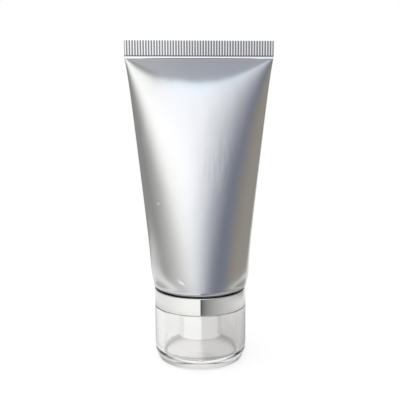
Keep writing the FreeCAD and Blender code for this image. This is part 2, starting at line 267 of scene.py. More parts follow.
def mixed(tree, factor, first, second):
    """Blend of two colours, each a triple or another node's socket."""
    node = add(tree, "ShaderNodeMix", {"data_type": "RGBA"})
    feed(tree, factor, node.inputs[0])
    for socket, colour in ((node.inputs[6], first), (node.inputs[7], second)):
        feed(tree, (*colour, 1.0) if isinstance(colour, tuple) else colour, socket)
    return node.outputs[2]


def summed(tree, *shaders):
    """One shader that adds up the given ones."""
    total = shaders[0]
    for shader in shaders[1:]:
        node = tree.nodes.new("ShaderNodeAddShader")
        feed(tree, total, node.inputs[0])
        feed(tree, shader, node.inputs[1])
        total = node
    return total


def blended(tree, factor, first, second):
    """Blend of two shaders."""
    node = tree.nodes.new("ShaderNodeMixShader")
    for socket, item in zip(node.inputs, (factor, first, second)):
        feed(tree, item, socket)
    return node


def open_group(name, kind, inputs, outputs):
    """Node group with named sockets; gives the tree, its inputs as fields and its output node."""
    tree = bpy.data.node_groups.new(name, kind)
    for label, socket_type, default in inputs:
        socket = tree.interface.new_socket(name=label, in_out="INPUT", socket_type=socket_type)
        if default is not None:
            socket.default_value = default
    for label, socket_type in outputs:
        tree.interface.new_socket(name=label, in_out="OUTPUT", socket_type=socket_type)
    entry = tree.nodes.new("NodeGroupInput")
    result = tree.nodes.new("NodeGroupOutput")
    fields = {label: Field(tree, entry.outputs[label]) for label, _, _ in inputs}
    return tree, fields, result


FLOAT = "NodeSocketFloat"
LENGTH = "NodeSocketFloat"
COUNT = "NodeSocketInt"
GEOMETRY = "NodeSocketGeometry"
MATERIAL = "NodeSocketMaterial"
VECTOR = "NodeSocketVector"


def grow(name, tree, numbers):
    """Run a geometry tree with the given inputs and keep its result as a plain mesh."""
    seed = bpy.data.objects.new(name + "_seed", bpy.data.meshes.new(name + "_seed"))
    bpy.context.collection.objects.link(seed)
    modifier = seed.modifiers.new("Grow", "NODES")
    modifier.node_group = tree
    for item in tree.interface.items_tree:
        if item.in_out == "INPUT" and item.name in numbers:
            modifier[item.identifier] = numbers[item.name]
    seed.update_tag()
    bpy.context.view_layer.update()
    depsgraph = bpy.context.evaluated_depsgraph_get()
    mesh = bpy.data.meshes.new_from_object(seed.evaluated_get(depsgraph), depsgraph=depsgraph)
    bpy.data.objects.remove(seed)
    return mesh


# ---------------------------------------------------------------- meshes

def place(name, mesh, material, body, replaced=()):
    """Make the finished piece, let it ride its body and name what it stands for."""
    mesh.name = name
    if not mesh.polygons:
        raise RuntimeError(f"{name} came out empty")
    piece = bpy.data.objects.new(name, mesh)
    bpy.context.collection.objects.link(piece)
    mesh.materials.clear()
    mesh.materials.append(material)
    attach(piece, body)
    for node in replaced:
        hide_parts(node)
    return piece


def smooth(mesh, angle=35):
    """Smooth shading, with an edge kept sharp where its faces meet at more than the angle."""
    mesh.shade_smooth()
    mesh.set_sharp_from_angle(angle=math.radians(angle))


def from_bmesh(build, name):
    mesh = bpy.data.meshes.new(name)
    build.to_mesh(mesh)
    build.free()
    return mesh


def rounded(corners, steps=6, hold=0.03 * MM):
    """Profile through corners given as (radius, height, rounding).

    A rounding becomes an arc, with one more point just beyond each of its ends, so that the
    flats beside it keep their own shading.
    """
    profile = []
    for index, (radius, height, rounding) in enumerate(corners):
        here = Vector((radius, height))
        if not rounding:
            profile.append(here)
            continue
        before = Vector(corners[index - 1][:2])
        after = Vector(corners[(index + 1) % len(corners)][:2])
        back, ahead = (before - here).normalized(), (after - here).normalized()
        half = back.angle(ahead) / 2
        reach = rounding / math.tan(half)
        centre = here + (back + ahead).normalized() * (rounding / math.sin(half))
        first, last = here + back * reach, here + ahead * reach
        start, sweep = first - centre, (first - centre).angle_signed(last - centre)
        profile.append(first + back * hold)
        for step in range(steps + 1):
            turned = start.copy()
            turned.rotate(Matrix.Rotation(-sweep * step / steps, 2))
            profile.append(centre + turned)
        profile.append(last + ahead * hold)
    return profile


def lathe(name, profile, sides):
    """Closed profile in (radius, height) turned about the Z axis; axis points become poles."""
    build = bmesh.new()
    rings = []
    for point in profile:
        if point.x < 1e-9:
            rings.append([build.verts.new((0, 0, point.y))])
            continue
        turns = (2 * math.pi * side / sides for side in range(sides))
        rings.append([
            build.verts.new((point.x * math.cos(turn), point.x * math.sin(turn), point.y))
            for turn in turns
        ])
    for ring, following in zip(rings, rings[1:] + rings[:1]):
        if len(ring) == len(following) == 1:
            continue
        for side in range(sides):
            beside = (side + 1) % sides
            corners = {
                ring[side % len(ring)]: None, ring[beside % len(ring)]: None,
                following[beside % len(following)]: None, following[side % len(following)]: None,
            }
            build.faces.new(list(corners))
    bmesh.ops.recalc_face_normals(build, faces=build.faces)
    return from_bmesh(build, name)


def merged_copy(node, name):
    """Copy of a CAD node with its loose triangles joined."""
    build = bmesh.new()
    build.from_mesh(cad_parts[node].data)
    bmesh.ops.remove_doubles(build, verts=build.verts, dist=1e-7)
    return from_bmesh(build, name)


# ---------------------------------------------------------------- sleeve tree

def sleeve_tree():
    """Wall of the sleeve: round and rolled at one end, pressed flat at the other.

    One grid is wrapped outside and inside.  Its column is the turn round the sleeve.  Its
    row goes from the top of the inside, down, round the rolled edge and up the outside, and
    a last row closes it on the first.  The girth stays the same all the way up, which gives
    the depth for each width.
    """
    tree, given, result = open_group("Sleeve wall", "GeometryNodeTree", [
        ("Round Radius", LENGTH, 0.0178),
        ("Flat Half Width", LENGTH, 0.02757),
        ("Flat Half Depth", LENGTH, 0.00055),
        ("Wall", LENGTH, 0.0005),
        ("Edge Roll", LENGTH, 0.0008),
        ("Round Height", LENGTH, 0.0026),
        ("Belly", LENGTH, 0.0004),
        ("Flare", LENGTH, 0.00055),
        ("Foot", LENGTH, 0.028),
        ("Top", LENGTH, 0.11375),
        ("Sides", COUNT, 192),
        ("Rows", COUNT, 120),
        ("Material", MATERIAL, None),
    ], [("Mesh", GEOMETRY)])
    tree.is_modifier = True
    radius, half_width = given["Round Radius"], given["Flat Half Width"]
    half_depth, wall, roll = given["Flat Half Depth"], given["Wall"], given["Edge Roll"]
    rows = given["Rows"]

    per_column = rows * 2 + 2
    grid = add(tree, "GeometryNodeMeshGrid", Size_X=1.0, Size_Y=1.0,
               Vertices_X=given["Sides"] + 1, Vertices_Y=per_column)
    index = Field(tree, tree.nodes.new("GeometryNodeInputIndex"))
    column = (index / per_column).math("FLOOR")
    row = index - column * per_column
    turn = column * (2 * math.pi) / given["Sides"]
    last = row.math("COMPARE", rows * 2 + 1, 0.25)
    row = row * (1 - last)
    outside = row.math("GREATER_THAN", rows - 0.5)
    step = (row - rows).math("MAXIMUM", rows - 1 - row)
    rise = step / rows

    # Three stretches: the roll, the straight round end and the flattening.
    roll_share, round_share = 0.05, 0.08
    in_roll = (rise / roll_share).clamped()
    in_round = ((rise - roll_share) / (round_share - roll_share)).clamped()
    along = ((rise - round_share) / (1 - round_share)).clamped()
    along = (1 - (along * math.pi).math("COSINE")) / 2

    inset = wall * (1 - outside)
    bend = roll - inset
    angle = in_roll * (math.pi / 2)
    pulled_in = bend * (1 - angle.math("SINE")) + inset
    foot = given["Foot"] + inset
    round_top = given["Foot"] + given["Round Height"]
    height = (
        foot + bend * (1 - angle.math("COSINE"))
        + (given["Round Height"] - roll) * in_round
        + (given["Top"] - round_top) * along
    )

    # The belly swells gently from the round end and fades again above it.
    belly_reach, belly_start, flare_power, thinnest = 0.05, 70.0, 12.0, 0.04 * MM
    flattening = math.log(2) / math.log(math.pi / 2)
    swell = along / belly_reach
    eased = 1 - (along * -belly_start).math("EXPONENT")
    taper = (
        radius + (half_width - given["Flare"] - radius) * along
        + given["Flare"] * along ** flare_power
    )
    width = taper + given["Belly"] * swell * (1 - swell).math("EXPONENT") * eased
    full = half_width ** flattening
    left = (full - taper ** flattening).math("MAXIMUM", 0.0)
    span = full - radius ** flattening
    depth = half_depth + (radius - half_depth) * (left / span) ** (1 / flattening)

    across = (width - pulled_in) * turn.math("COSINE")
    through = (depth - pulled_in).math("MAXIMUM", thinnest) * turn.math("SINE")
    wrapped = add(tree, "GeometryNodeSetPosition", Geometry=grid,
                  Position=vector(tree, X=across, Y=through, Z=height))
    closed = add(tree, "GeometryNodeMergeByDistance", Geometry=wrapped, Distance=1e-7)
    shaded = add(tree, "GeometryNodeSetShadeSmooth", Geometry=closed)
    real = add(tree, "GeometryNodeRealizeInstances", Geometry=shaded)
    dressed = add(tree, "GeometryNodeSetMaterial", Geometry=real, Material=given["Material"])
    feed(tree, dressed, result.inputs["Mesh"])
    return tree


# ---------------------------------------------------------------- crimp tree

def tapered(distance, reach, tip=0.5):
    """Share of the full thickness, from the tip's at an end to all of it at the reach."""
    left = 1 - (distance / reach).clamped()
    return (1 - left ** 2.0 * (1 - tip * tip)).math("SQRT")


def ridge_group():
    """Straight rounded ridge from one point to another, tapered at its first end and blunt
    at its last."""
    tree, given, result = open_group("Rounded ridge", "GeometryNodeTree", [
        ("Start", VECTOR, (0.0, 0.0, 0.0)),
        ("End", VECTOR, (0.0, 0.0, 0.01)),
        ("Half Width", LENGTH, 0.0005),
        ("Half Depth", LENGTH, 0.0003),
        ("Start Taper", FLOAT, 0.2),
    ], [("Mesh", GEOMETRY)])
    blunt, stations, sides = 0.001, 12, 14
    line = add(tree, "GeometryNodeCurvePrimitiveLine", Start=given["Start"], End=given["End"])
    points = add(tree, "GeometryNodeResampleCurve", Curve=line, Count=stations)
    factor = Field(tree, tree.nodes.new("GeometryNodeSplineParameter").outputs["Factor"])
    thick = tapered(factor, given["Start Taper"]) * tapered(1 - factor, blunt)
    shaped = add(tree, "GeometryNodeSetCurveRadius", Curve=points, Radius=thick)
    circle = add(tree, "GeometryNodeCurvePrimitiveCircle", Resolution=sides, Radius=1.0)
    oval = vector(tree, X=given["Half Width"], Y=given["Half Depth"], Z=1.0)
    profile = add(tree, "GeometryNodeTransform", Geometry=circle, Scale=oval)
    mesh = add(tree, "GeometryNodeCurveToMesh", Curve=shaped, Profile_Curve=profile,
               Fill_Caps=True)
    feed(tree, mesh, result.inputs["Mesh"])
    return tree


def crimp_tree():
    """Flat sealed bar with a row of ridges on each face and a smooth bead under them."""
    tree, given, result = open_group("Ribbed crimp", "GeometryNodeTree", [
        ("Half Width", LENGTH, 0.02757),
        ("Half Depth", LENGTH, 0.00055),
        ("Rib Pitch", LENGTH, 0.001),
        ("Rib Depth", LENGTH, 0.0003),
        ("Lip Height", LENGTH, 0.00075),
        ("Lip Swell", LENGTH, 0.00012),
        ("Foot", LENGTH, 0.11375),
        ("Top", LENGTH, 0.12),
        ("Material", MATERIAL, None),
    ], [("Mesh", GEOMETRY)])
    tree.is_modifier = True
    half_width, half_depth = given["Half Width"], given["Half Depth"]
    pitch, foot, top = given["Rib Pitch"], given["Foot"], given["Top"]
    floor = half_depth - given["Rib Depth"]
    lip_gap, rib_fill, lip_share = 0.2 * MM, 0.47, 0.15

    # The bar itself reaches the bottom of the grooves.
    block = add(tree, "GeometryNodeMeshCube",
                Size=vector(tree, X=half_width * 2, Y=floor * 2, Z=top - foot))
    bar = add(tree, "GeometryNodeTransform", Geometry=block,
              Translation=vector(tree, Z=(top + foot) / 2))

    rib = add(tree, "GeometryNodeGroup", {"node_tree": ridge_group()},
              Start=vector(tree, Z=foot + given["Lip Height"] + lip_gap),
              End=vector(tree, Z=top), Half_Width=pitch * rib_fill,
              Half_Depth=given["Rib Depth"], Start_Taper=0.16)
    rows = []
    count = (half_width * 2 / pitch).math("FLOOR")
    for side, shift in ((-1, 0.0), (1, 0.5)):
        # The back row sits half a pitch along from the front row, with one rib fewer.
        begin = pitch * (0.5 + shift) - pitch * count / 2
        line = add(tree, "GeometryNodeMeshLine", Count=count - (1 if side > 0 else 0),
                   Start_Location=vector(tree, X=begin, Y=floor * side),
                   Offset=vector(tree, X=pitch))
        rows.append(add(tree, "GeometryNodeInstanceOnPoints", Points=line, Instance=rib))

    # The bead's faces lean back a little, so that they catch the light from above.
    lip_level = foot + given["Lip Height"] * lip_share
    lip_line = add(tree, "GeometryNodeCurvePrimitiveLine",
                   Start=vector(tree, X=half_width * -1, Z=lip_level),
                   End=vector(tree, X=half_width, Z=lip_level))
    lip_section = add(tree, "GeometryNodeCurvePrimitiveQuadrilateral", {"mode": "TRAPEZOID"},
                      Height=given["Lip Height"], Offset=0.0, Bottom_Width=half_depth * 2,
                      Top_Width=(half_depth + given["Lip Swell"]) * 2)
    lip = add(tree, "GeometryNodeCurveToMesh", Curve=lip_line, Profile_Curve=lip_section,
              Fill_Caps=True)

    joined = tree.nodes.new("GeometryNodeJoinGeometry")
    for source in (bar, *rows, lip):
        feed(tree, source, joined.inputs[0])
    real = add(tree, "GeometryNodeRealizeInstances", Geometry=joined)
    dressed = add(tree, "GeometryNodeSetMaterial", Geometry=real, Material=given["Material"])
    feed(tree, dressed, result.inputs["Mesh"])
    return tree


# ---------------------------------------------------------------- finishes

# Marks on the sleeve, in millimetres: its middle (across, up), its size each way, and its tilt.
DENTS = (((-15.5, 60.8), (0.5, 0.35), 0.0), ((-7.8, 33.3), (1.3, 0.4), -0.5))
WRINKLES = ((6.0, 76.0), (9.0, 14.0))

# Painted highlight on the ribs' crowns towards the left of the crimp.
LEFT_HIGHLIGHT_SILVER = (0.97, 0.97, 0.97)
# Painted highlight along the crimp's bead.
BEAD_HIGHLIGHT_SILVER = (0.9, 0.9, 0.9)
# Painted shade round the corner inside the clear overcap.
CORNER_SHADE_GREY = (0.45, 0.46, 0.47)


def grain_group():
    """Fine grain that can be drawn out upright, as a height and as a mask."""
    tree, given, result = open_group("Fine grain", "ShaderNodeTree", [
        ("Scale", FLOAT, 900.0),
        ("Stretch", FLOAT, 1.0),
        ("Detail", FLOAT, 3.0),
        ("Low", FLOAT, 0.0),
        ("High", FLOAT, 1.0),
    ], [("Height", FLOAT), ("Mask", FLOAT)])
    usual_low, usual_high = 0.35, 0.65
    x, y, z = axes(tree)
    noise = add(tree, "ShaderNodeTexNoise", Vector=vector(tree, X=x, Y=y, Z=z * given["Stretch"]),
                Scale=given["Scale"], Detail=given["Detail"], Roughness=0.55)
    height = Field(tree, noise.outputs["Fac"])
    feed(tree, height, result.inputs["Height"])
    feed(tree, height.ramp(usual_low, usual_high, given["Low"], given["High"]),
         result.inputs["Mask"])
    return tree


def grained(tree, grain, **values):
    """The grain with its own values, as its height and its mask."""
    node = add(tree, "ShaderNodeGroup", {"node_tree": grain}, **values)
    return Field(tree, node.outputs["Height"]), Field(tree, node.outputs["Mask"])


def new_material(name, **plain):
    """Material with its Principled shader; plain numbers sit on the shader's own sockets."""
    material = bpy.data.materials.new(name)
    material.use_nodes = True
    tree = material.node_tree
    shader = tree.nodes["Principled BSDF"]
    for label, number in plain.items():
        if label == "Base_Color":
            number = (*number, 1.0)
        shader.inputs[label.replace("_", " ")].default_value = number
    return material, tree, shader


def bump(tree, shader, height, strength, distance):
    node = add(tree, "ShaderNodeBump", Height=height, Strength=strength, Distance=distance)
    feed(tree, node, shader.inputs["Normal"])


def mark(x, z, spot, size, tilt=0.0):
    """Shallow mark: 1 at its middle (across, up) and fading out over its own two sizes."""
    cosine, sine = math.cos(tilt), math.sin(tilt)
    right, up = x - spot[0] * MM, z - spot[1] * MM
    along = (right * cosine + up * sine) / (size[0] * MM)
    beside = (up * cosine - right * sine) / (size[1] * MM)
    return ((along * along + beside * beside) * -1.0).math("EXPONENT")


def laminate_material(finish, grain):
    """Satin silver laminate with a faint upright grain, gentle waves, dents and wrinkles."""
    material, tree, shader = new_material(
        "satin_laminate", Base_Color=finish.laminate, Metallic=1.0,
        Roughness=finish.laminate_roughness)
    x, y, z = axes(tree)
    fine, fine_blur = grained(tree, grain, Scale=1500.0, Stretch=0.12, Detail=2.0,
                              Low=0.96, High=1.04)
    broad, broad_blur = grained(tree, grain, Scale=55.0, Stretch=0.5, Detail=2.0,
                                Low=0.9, High=1.1)
    folds, _ = grained(tree, grain, Scale=700.0, Stretch=0.2, Detail=2.0)
    feed(tree, fine_blur * broad_blur * finish.laminate_roughness, shader.inputs["Roughness"])
    dents = sum(mark(x, z, *dent) for dent in DENTS) * y.math("LESS_THAN", 0.0)
    height = fine * finish.grain + broad * finish.waves \
        + folds * mark(x, z, *WRINKLES) * finish.wrinkles - dents * finish.dents
    bump(tree, shader, height, 1.0, 0.1 * MM)
    return material


def embossed_material(finish, crimp, foot):
    """The same laminate pressed into ribs: painted shade down in the grooves, a painted
    highlight on the ribs that grows towards the left, and a painted highlight of paler silver
    along the bead under them."""
    rib_blur, bead_blur = 0.14, 0.2
    groove_share, groove_shade, bead_share = 0.75, 0.3, 0.66
    material, tree, shader = new_material("embossed_laminate", Metallic=1.0, Roughness=rib_blur)
    x, y, z = axes(tree)
    silver = tuple(finish.laminate)
    groove = crimp.half_depth - crimp.rib_depth
    # Painted shade: the silver darkens down in the grooves between the ribs.
    shaded = y.math("ABSOLUTE").ramp(groove, groove + crimp.rib_depth * groove_share)
    # Painted highlight: the crowns of the ribs turn paler towards the left, where the light
    # falls.
    crown_highlight = mixed(tree, x.ramp(4 * MM, -16 * MM), silver, LEFT_HIGHLIGHT_SILVER)
    ribs = mixed(tree, shaded, tuple(part * groove_shade for part in silver), crown_highlight)
    # Painted highlight: the bead under the ribs is a paler silver.
    bead = z.math("LESS_THAN", foot + crimp.lip_height * bead_share)
    feed(tree, mixed(tree, bead, ribs, BEAD_HIGHLIGHT_SILVER), shader.inputs["Base Color"])
    feed(tree, bead.ramp(0, 1, rib_blur, bead_blur), shader.inputs["Roughness"])
    return material


def plating_material(finish, grain):
    """Mirror-bright plating, blurred very slightly by handling."""
    material, tree, shader = new_material(
        "mirror_plating", Base_Color=finish.plating, Metallic=1.0, Roughness=0.03)
    _, handled = grained(tree, grain, Scale=120.0, Detail=4.0, Low=0.02, High=0.06)
    feed(tree, handled, shader.inputs["Roughness"])
    return material


def plastic_material(name, colour, grain, roughness=0.38, scale=700.0):
    """Plain moulded plastic or foam with a fine skin, with its tree and its shader."""
    spread = 0.06
    material, tree, shader = new_material(name, Base_Color=colour, Roughness=roughness, IOR=1.5)
    skin, blur = grained(tree, grain, Scale=scale, Detail=3.0, Low=roughness - spread,
                         High=roughness + spread)
    feed(tree, blur, shader.inputs["Roughness"])
    bump(tree, shader, skin, 0.15, 0.05 * MM)
    return material, tree, shader


def head_material(finish, grain):
    """White plastic, with painted shade where the shoulder's rim closes the seam over the cap."""
    material, tree, shader = plastic_material("white_head", finish.moulding, grain, 0.42)
    x, y, z = axes(tree)
    # Painted shade: a near-black ring on the shoulder's rim, where the seam's gap lies in shadow.
    rim = off_axis(x, y).ramp(sleeve_high.y - 4 * MM, sleeve_high.y - 3 * MM) \
        * z.math("LESS_THAN", sleeve_low.z + 0.5 * MM)
    shaded = mixed(tree, rim, tuple(finish.moulding), tuple(finish.seam))
    feed(tree, shaded, shader.inputs["Base Color"])
    return material


def acrylic_material(finish, cap, grain):
    """Polished clear acrylic with a trace of handling, painted grey shade round the corner of
    its cavity, and a little rubbed round the edge of its base."""
    material, tree, shader = new_material(
        "polished_acrylic", Base_Color=finish.acrylic, Roughness=0.0, IOR=1.49,
        Transmission_Weight=1.0)
    _, handled = grained(tree, grain, Scale=90.0, Detail=4.0, Low=0.0, High=0.02)
    x, y, up = axes(tree)
    out = off_axis(x, y)
    wall, floor, outer = cup_high.x - cap.cup_wall, cap.cup_floor, cup_high.x
    # Painted shade: grey round the corner inside the cavity, in place of the darkening that
    # refraction gives there.
    by_wall = window(out, (wall - 1.2 * MM, 0.4 * MM), (wall + 0.3 * MM, 0.2 * MM))
    by_floor = window(up, (floor - 0.2 * MM, 0.1 * MM), (floor + 1.2 * MM, 0.5 * MM))
    colour = mixed(tree, by_wall * by_floor, tuple(finish.acrylic), CORNER_SHADE_GREY)
    feed(tree, colour, shader.inputs["Base Color"])
    edge = up.ramp(2.6 * MM, 1.6 * MM) * out.ramp(outer - 4.2 * MM, outer - 3.6 * MM)
    feed(tree, edge * finish.rubbed_base + handled, shader.inputs["Roughness"])
    return material


FINISHES = {}


def finished(slot):
    """The material for a slot of the record, all of them made at the first call."""
    if not FINISHES:
        scene = bpy.context.scene
        finish, crimp, cap = scene.tube_finish, scene.tube_crimp, scene.tube_cap
        grain = grain_group()
        FINISHES.update({
            "silver_laminate": laminate_material(finish, grain),
            "embossed": embossed_material(finish, crimp, crimp_foot(crimp)),
            "bright_plating": plating_material(finish, grain),
            "clear_acrylic": acrylic_material(finish, cap, grain),
            "white_moulding": head_material(finish, grain),
            "natural_plastic": plastic_material("plain_insert", finish.natural, grain)[0],
            "foam_liner": plastic_material(
                "foam_sheet", finish.foam, grain, roughness=0.75, scale=2500.0)[0],
        })
    return FINISHES[slot]


# ---------------------------------------------------------------- operators

def crimp_foot(crimp):
    """Height at which the crimp starts and the sleeve's wall ends."""
    return sleeve_high.z - crimp.rib_zone - crimp.lip_height


def cup_shoulder(cap):
    """Height of the band's lower edge, just over the overcap's step."""
    return collar_high.z - cap.band_height


class TubeOperator:
    bl_options = {"REGISTER", "UNDO"}


class OBJECT_OT_tube_sleeve(TubeOperator, bpy.types.Operator):
    """Wrap the laminate sleeve from its rolled round end to the flat crimp"""
    bl_idname = "object.tube_sleeve"
    bl_label = "Sleeve"

    def execute(self, context):
        sleeve, crimp = context.scene.tube_sleeve, context.scene.tube_crimp
        material = finished("silver_laminate")
        mesh = grow("sleeve_wall", sleeve_tree(), {
            "Round Radius": sleeve.round_radius,
            "Flat Half Width": sleeve_high.x,
            "Flat Half Depth": crimp.half_depth,
            "Wall": sleeve.wall,
            "Edge Roll": sleeve.edge_roll,
            "Round Height": sleeve.round_height,
            "Belly": sleeve.belly,
            "Flare": sleeve.flare,
            "Foot": sleeve_low.z + sleeve.seam,
            "Top": crimp_foot(crimp),
            "Sides": sleeve.sides,
            "Rows": sleeve.rows,
            "Material": material,
        })
        place("sleeve_wall", mesh, material, "tube", ["tube_sleeve"])
        return {"FINISHED"}


class OBJECT_OT_tube_crimp(TubeOperator, bpy.types.Operator):
    """Seal the sleeve's end with a ribbed bar and the bead under it"""
    bl_idname = "object.tube_crimp"
    bl_label = "Ribbed crimp"

    def execute(self, context):
        crimp = context.scene.tube_crimp
        material = finished("embossed")
        mesh = grow("ribbed_crimp", crimp_tree(), {
            "Half Width": sleeve_high.x,
            "Half Depth": crimp.half_depth,
            "Rib Pitch": crimp.rib_pitch,
            "Rib Depth": crimp.rib_depth,
            "Lip Height": crimp.lip_height,
            "Lip Swell": crimp.lip_swell,
            "Foot": crimp_foot(crimp),
            "Top": sleeve_high.z,
            "Material": material,
        })
        smooth(mesh, 50)
        place("ribbed_crimp", mesh, material, "tube")
        return {"FINISHED"}


class OBJECT_OT_tube_mouldings(TubeOperator, bpy.types.Operator):
    """Finish the threaded mouldings: the head with its neck, and the insert in the cap"""
    bl_idname = "object.tube_mouldings"
    bl_label = "Threaded mouldings"

    def execute(self, context):
        for node, name, body, slot in (
            ("tube_head", "threaded_head", "tube", "white_moulding"),
            ("threaded_insert", "inner_cap", "cap", "natural_plastic"),
            ("sealing_disc", "foam_disc", "liner", "foam_liner"),
        ):
            mesh = merged_copy(node, name)
            smooth(mesh, 24)
            place(name, mesh, finished(slot), body, [node])
        return {"FINISHED"}


class OBJECT_OT_tube_collar(TubeOperator, bpy.types.Operator):
    """Turn the plated collar with its band, web and inner socket"""
    bl_idname = "object.tube_collar"
    bl_label = "Plated collar"

    def execute(self, context):
        cap = context.scene.tube_cap
        top, bottom, outer = collar_high.z, cup_shoulder(cap), collar_high.x
        web, inner = top - cap.plate_wall, outer - cap.plate_wall
        bore = cap.socket_radius - cap.socket_wall
        end, floor = collar_low.z, collar_low.z + cap.socket_wall
        profile = rounded([
            (outer, bottom, cap.band_edge),
            (outer, top, cap.band_edge),
            (bore, top, cap.mouth_edge),
            (bore, floor, cap.inner_corner),
            (0.0, floor, 0),
            (0.0, end, 0),
            (cap.socket_radius, end, cap.socket_edge),
            (cap.socket_radius, web, cap.web_corner),
            (inner, web, cap.inner_corner),
            (inner, bottom, cap.band_foot),
        ])
        mesh = lathe("plated_band", profile, cap.sides)
        smooth(mesh)
        place("plated_band", mesh, finished("bright_plating"), "cap",
              ["plated_collar"])
        return {"FINISHED"}


class OBJECT_OT_tube_overcap(TubeOperator, bpy.types.Operator):
    """Turn the thick clear overcap with its rim inside the band"""
    bl_idname = "object.tube_overcap"
    bl_label = "Clear overcap"

    def execute(self, context):
        cap = context.scene.tube_cap
        outer, top = cup_high.x, cup_high.z
        spigot = outer - cap.plate_wall - cap.bond_gap
        inner = outer - cap.cup_wall
        step = cup_shoulder(cap) - cap.bond_gap
        profile = rounded([
            (0.0, cap.gate_depth, 0),
            (cap.gate_radius, cap.gate_depth, cap.fine_edge),
            (cap.gate_radius, 0.0, cap.fine_edge),
            (outer - cap.base_inset, 0.0, cap.base_round),
            (outer, cap.base_slope, cap.slope_round),
            (outer, step, cap.mouth_edge),
            (spigot, step, cap.fine_edge),
            (spigot, top, cap.rim_edge),
            (inner, top, cap.rim_edge),
            (inner, cap.cup_floor, cap.floor_round),
            (0.0, cap.cup_floor, 0),
        ], steps=10)
        mesh = lathe("clear_cup", profile, cap.sides)
        smooth(mesh)
        place("clear_cup", mesh, finished("clear_acrylic"), "cap",
              ["clear_overcap"])
        return {"FINISHED"}


class OBJECT_OT_tube_studio(TubeOperator, bpy.types.Operator):
    """Set the pale floor, the soft light round the tube and the camera"""
    bl_idname = "object.tube_studio"
    bl_label = "Studio"

    def execute(self, context):
        studio = context.scene.tube_studio
        make_floor(studio)
        make_world(context.scene)
        make_lamp(studio)
        make_camera(context.scene, studio)
        context.scene.view_settings.view_transform = "Standard"
        return {"FINISHED"}


# ---------------------------------------------------------------- studio

WHITE, ROSY = (1.0, 1.0, 1.0), (1.0, 0.94, 0.93)
COOL, NEUTRAL, WARM = (0.87, 0.94, 1.15), (1.01, 1.0, 0.97), (1.08, 1.01, 0.90)
LOW_LIGHT, HIGH_LIGHT = (1.0, 0.995, 0.97), (0.88, 1.0, 1.04)

# How bright the floor looks through the acrylic and in the plating, how much dimmer it is
# behind the cap, and how bright its own colour comes out under the lamp.
FLOOR_GLOW, FLOOR_MIRRORED, BEHIND_CAP, FLOOR_LIT = 0.68, 0.7, 0.14, 0.32

# Directions in degrees, each edge with its softness.  Azimuth 0 is the camera's side, and it
# grows to the right.
DARK_ROOM = (5, 20), (67, 30)
LOW_GLOW = (-70, 27), (4, 23)
FAR_LIGHT = (146, 18), (174, 6)
FAR_TABLE = (75, 20), (152, 12)
RIGHT_WHITE = (0, 1.5), (158, 10)
LEFT_WHITE = (-150, 20), (-60, 40)


def ray_is(tree, *kinds):
    """1 for rays of the given kinds, otherwise 0."""
    path = tree.nodes.new("ShaderNodeLightPath")
    total = Field(tree, path.outputs[f"Is {kinds[0]} Ray"])
    for kind in kinds[1:]:
        total = total.math("MAXIMUM", path.outputs[f"Is {kind} Ray"])
    return total


def make_floor(studio):
    """Pale disc that takes the shadow and fades into the white behind it."""
    build = bmesh.new()
    # A hair under the part, so that the clear base keeps its own lower face.
    bmesh.ops.create_circle(build, cap_ends=True, segments=96, radius=studio.floor_radius,
                            matrix=Matrix.Translation((0.0, 0.0, -0.1 * MM)))
    mesh = from_bmesh(build, "floor")
    floor = bpy.data.objects.new("floor", mesh)
    bpy.context.collection.objects.link(floor)
    material = bpy.data.materials.new("pale_floor")
    material.use_nodes = True
    tree = material.node_tree
    tree.nodes.clear()
    x, y, _ = axes(tree)
    reach = off_axis(x, y)
    camera, refracted = ray_is(tree, "Camera"), ray_is(tree, "Transmission")
    mirrored = ray_is(tree, "Glossy") * (1 - refracted)

    # Through the acrylic the right half is dimmer, and so is all that lies behind the cap.
    right = x.ramp(-1 * MM, 2 * MM)
    past = reach.ramp(cup_high.x * 0.97, cup_high.x * 1.03) * y.ramp(-1 * MM, 1 * MM)
    through = FLOOR_GLOW - right * studio.right_shade - past * BEHIND_CAP
    near = reach.ramp(30 * MM, 20 * MM)
    lift = add(tree, "ShaderNodeEmission",
               Color=mixed(tree, right * past * refracted, WHITE, ROSY),
               Strength=refracted * through + mirrored * near * FLOOR_MIRRORED)

    # The camera sees the floor's shadow thinly over the white below, so that the lowered cap
    # shows through it as well.
    own = tuple(studio.floor_colour)
    veil = tuple(part * (1 - studio.floor_lift) / FLOOR_LIT for part in own)
    matte = add(tree, "ShaderNodeBsdfDiffuse", Color=mixed(tree, camera, own, veil))
    below = add(tree, "ShaderNodeBsdfTransparent",
                Color=mixed(tree, camera * studio.floor_lift, (0.0, 0.0, 0.0), WHITE))
    beyond = tree.nodes.new("ShaderNodeBsdfTransparent")
    edge = reach.ramp(studio.floor_radius * 0.6, studio.floor_radius)
    fade = blended(tree, edge, summed(tree, matte, lift, below), beyond)
    add(tree, "ShaderNodeOutputMaterial", Surface=fade)
    mesh.materials.append(material)


